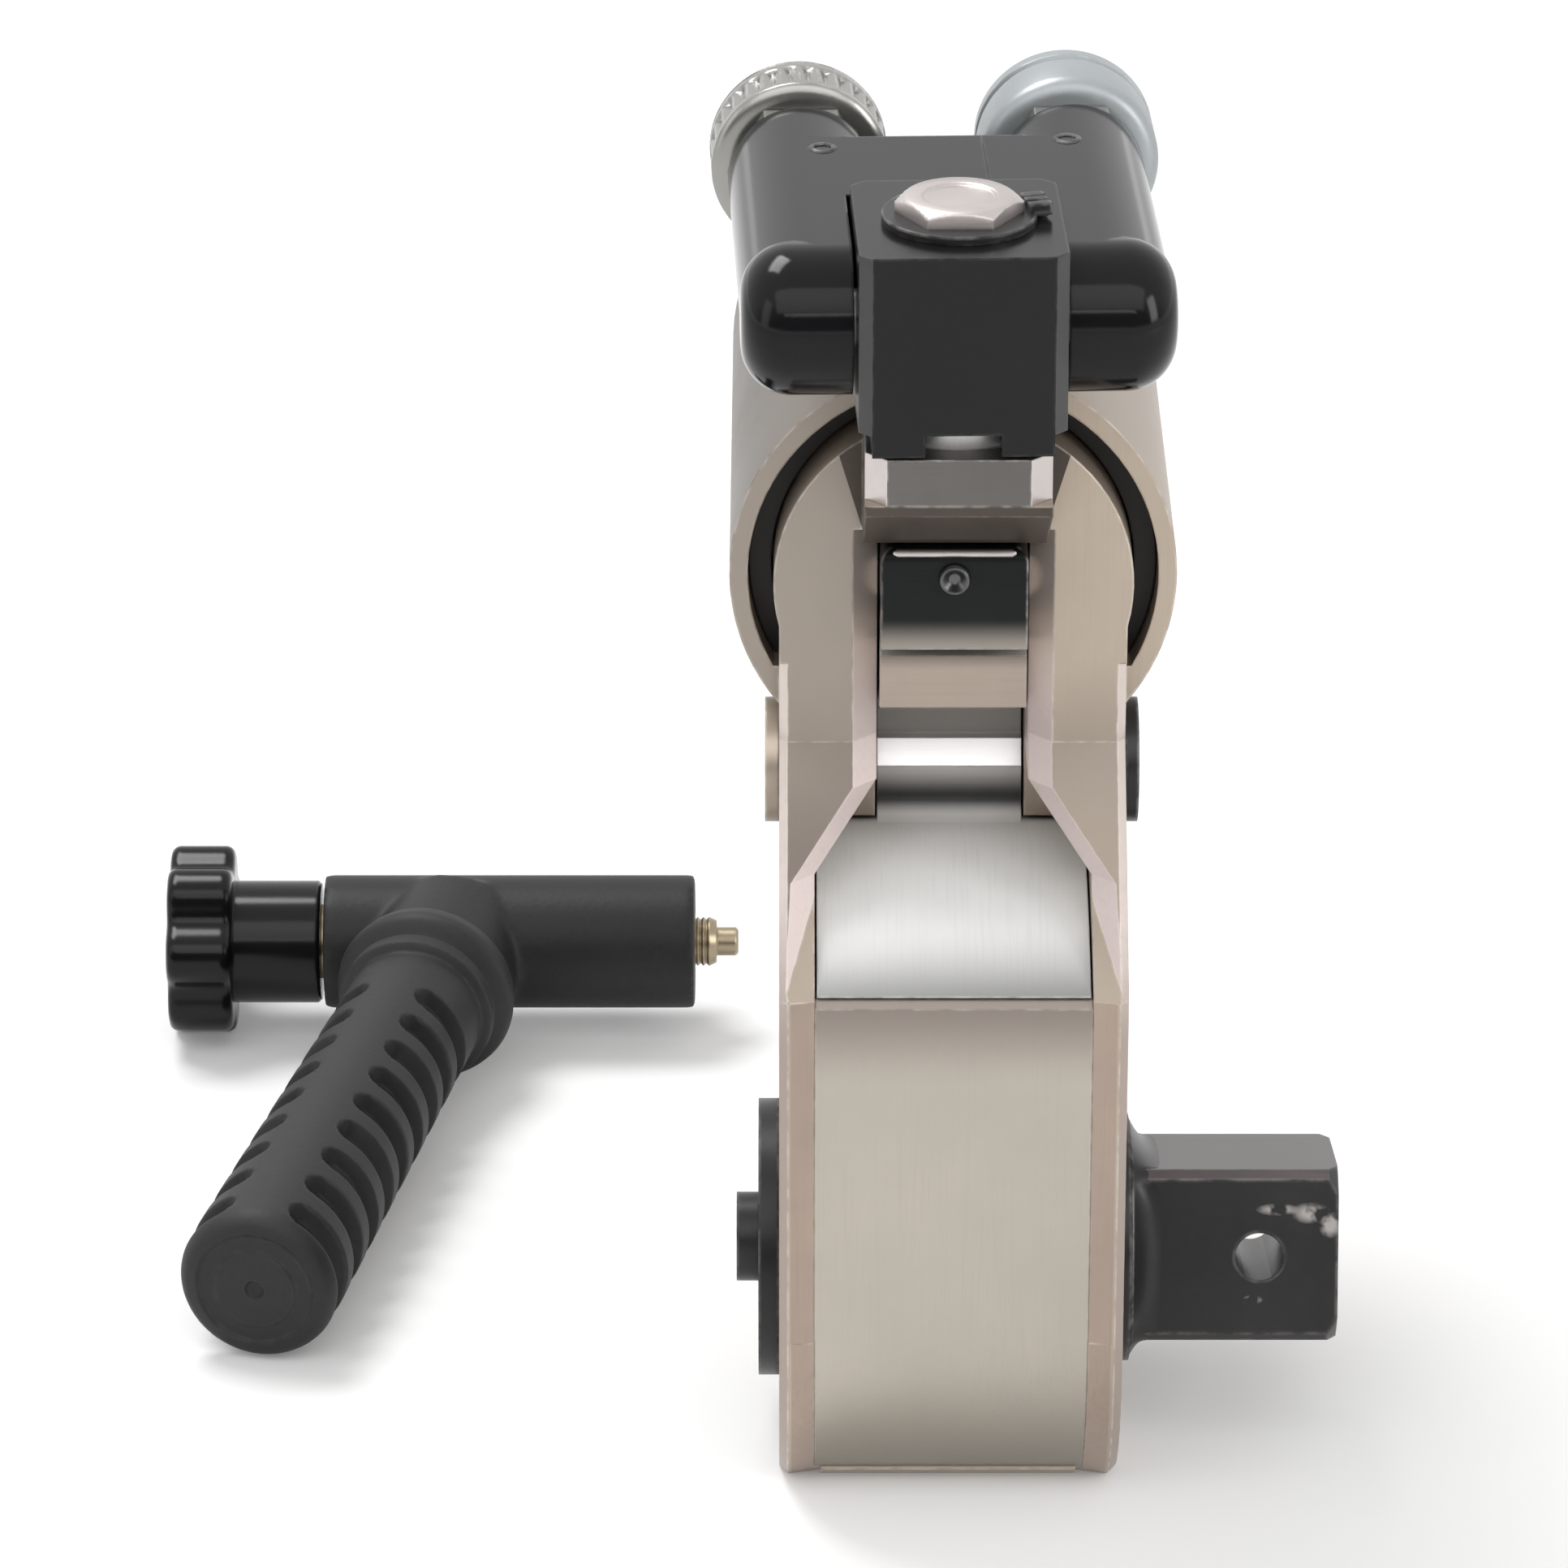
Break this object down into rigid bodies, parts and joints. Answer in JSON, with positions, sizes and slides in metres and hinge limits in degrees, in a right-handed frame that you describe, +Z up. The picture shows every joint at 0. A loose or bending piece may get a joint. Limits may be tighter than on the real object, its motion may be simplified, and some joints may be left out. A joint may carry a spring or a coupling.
{
  "type": "hydraulic torque wrench",
  "caption": "Square-drive hydraulic torque wrench with crank and ratchet, tilting swivel with two couplers, and its detached reaction handle.",
  "frame": {"origin": "centre of the standing flat under the nose, straight below the drive axis", "axes": "+X along the square drive, outwards; +Y towards the cylinder's rear; +Z up from the flat"},
  "size_m": [0.1794, 0.1881, 0.1986],
  "materials": {
    "nickel": "satin nickel plating, warm tint",
    "bright_steel": "ground bright steel",
    "dark_steel": "dark oiled steel",
    "black_oxide": "black oxide, worn at the edges",
    "gloss_black": "glossy black coating",
    "grey_coat": "satin dark coating",
    "plated": "bright plated steel",
    "pale_plating": "pale satin plating",
    "bronze": "oiled bearing bronze",
    "seal": "smooth nitrile",
    "handle_coat": "matte black coating",
    "grip_rubber": "matte moulded rubber",
    "black_plastic": "glossy moulded plastic",
    "stud_brass": "yellow plated steel"
  },
  "bodies": {
    "housing": {"housing": "nickel", "nose_shroud": "nickel", "left_bushing": "bronze", "right_bushing": "bronze", "gland": "dark_steel", "end_cap": "nickel", "left_boss": "nickel", "right_plug": "black_oxide", "swivel_base": "dark_steel", "swivel_post": "bright_steel", "swivel_washer": "dark_steel", "swivel_bolt": "bright_steel"},
    "piston": {"piston": "bright_steel", "piston_seal": "seal", "piston_rod": "bright_steel", "rod_end": "dark_steel", "rod_pin": "bright_steel"},
    "crank": {"crank": "bright_steel", "pawl_pin": "bright_steel"},
    "pawl": {"pawl": "dark_steel"},
    "drive": {"ratchet_wheel": "dark_steel", "square_drive": "black_oxide", "retainer_disc": "black_oxide"},
    "button": {"release_button": "black_oxide"},
    "swivel": {"swivel_block": "gloss_black", "trunnion_left": "bright_steel", "trunnion_right": "bright_steel"},
    "manifold": {"manifold_left": "grey_coat", "manifold_right": "grey_coat", "female_body": "plated", "male_body": "plated"},
    "female_collar": {"female_collar": "plated"},
    "male_collar": {"male_collar": "pale_plating"},
    "handle": {"handle_tube": "handle_coat", "grip_bar": "dark_steel", "grip": "grip_rubber"},
    "knob": {"knob": "black_plastic", "clamp_stud": "stud_brass"}
  },
  "joints": [
    {"name": "crank_swing", "type": "hinge", "parent": "housing", "child": "crank", "pos_m": [0, 0, 0.03], "axis": [-1, 0, 0], "range_deg": [0, 14.2]},
    {"name": "piston_slide", "type": "slide", "parent": "housing", "child": "piston", "axis": [0, 1, 0], "range_m": [0, 0.02666]},
    {"name": "drive_turn", "type": "hinge", "parent": "housing", "child": "drive", "pos_m": [0, 0, 0.03], "axis": [-1, 0, 0], "range_deg": [0, 14.2]},
    {"name": "pawl_lift", "type": "hinge", "parent": "crank", "child": "pawl", "pos_m": [0, 0.017, 0.0575], "axis": [-1, 0, 0], "range_deg": [0, 8], "stiffness_Nm_per_rad": 0.2},
    {"name": "button_press", "type": "slide", "parent": "drive", "child": "button", "axis": [1, 0, 0], "range_m": [0, 0.0025], "stiffness_N_per_m": 400},
    {"name": "swivel_turn", "type": "hinge", "parent": "housing", "child": "swivel", "pos_m": [0, -0.0215, 0.1811], "axis": [0, 0, 1], "continuous": true},
    {"name": "manifold_tilt", "type": "hinge", "parent": "swivel", "child": "manifold", "pos_m": [0, -0.0215, 0.1811], "axis": [0.9994, 0.0349, 0], "range_deg": [0, 180]},
    {"name": "female_collar_turn", "type": "hinge", "parent": "manifold", "child": "female_collar", "pos_m": [-0.02164, 0.04529, 0.1811], "axis": [-0.0349, 0.9994, 0], "continuous": true},
    {"name": "male_collar_turn", "type": "hinge", "parent": "manifold", "child": "male_collar", "pos_m": [0.01686, 0.04863, 0.1811], "axis": [-0.0349, 0.9994, 0], "continuous": true},
    {"name": "handle_off", "type": "slide", "parent": "housing", "child": "handle", "axis": [-1, 0, 0], "range_m": [0, 0.08]},
    {"name": "knob_turn", "type": "hinge", "parent": "handle", "child": "knob", "pos_m": [-0.1, 0.1352, 0.0155], "axis": [1, 0, 0], "continuous": true}
  ],
  "couplings": [
    {"joint": "piston_slide", "follows": "crank_swing", "m_per_rad": 0.10754},
    {"joint": "drive_turn", "follows": "crank_swing", "ratio": 1}
  ]
}
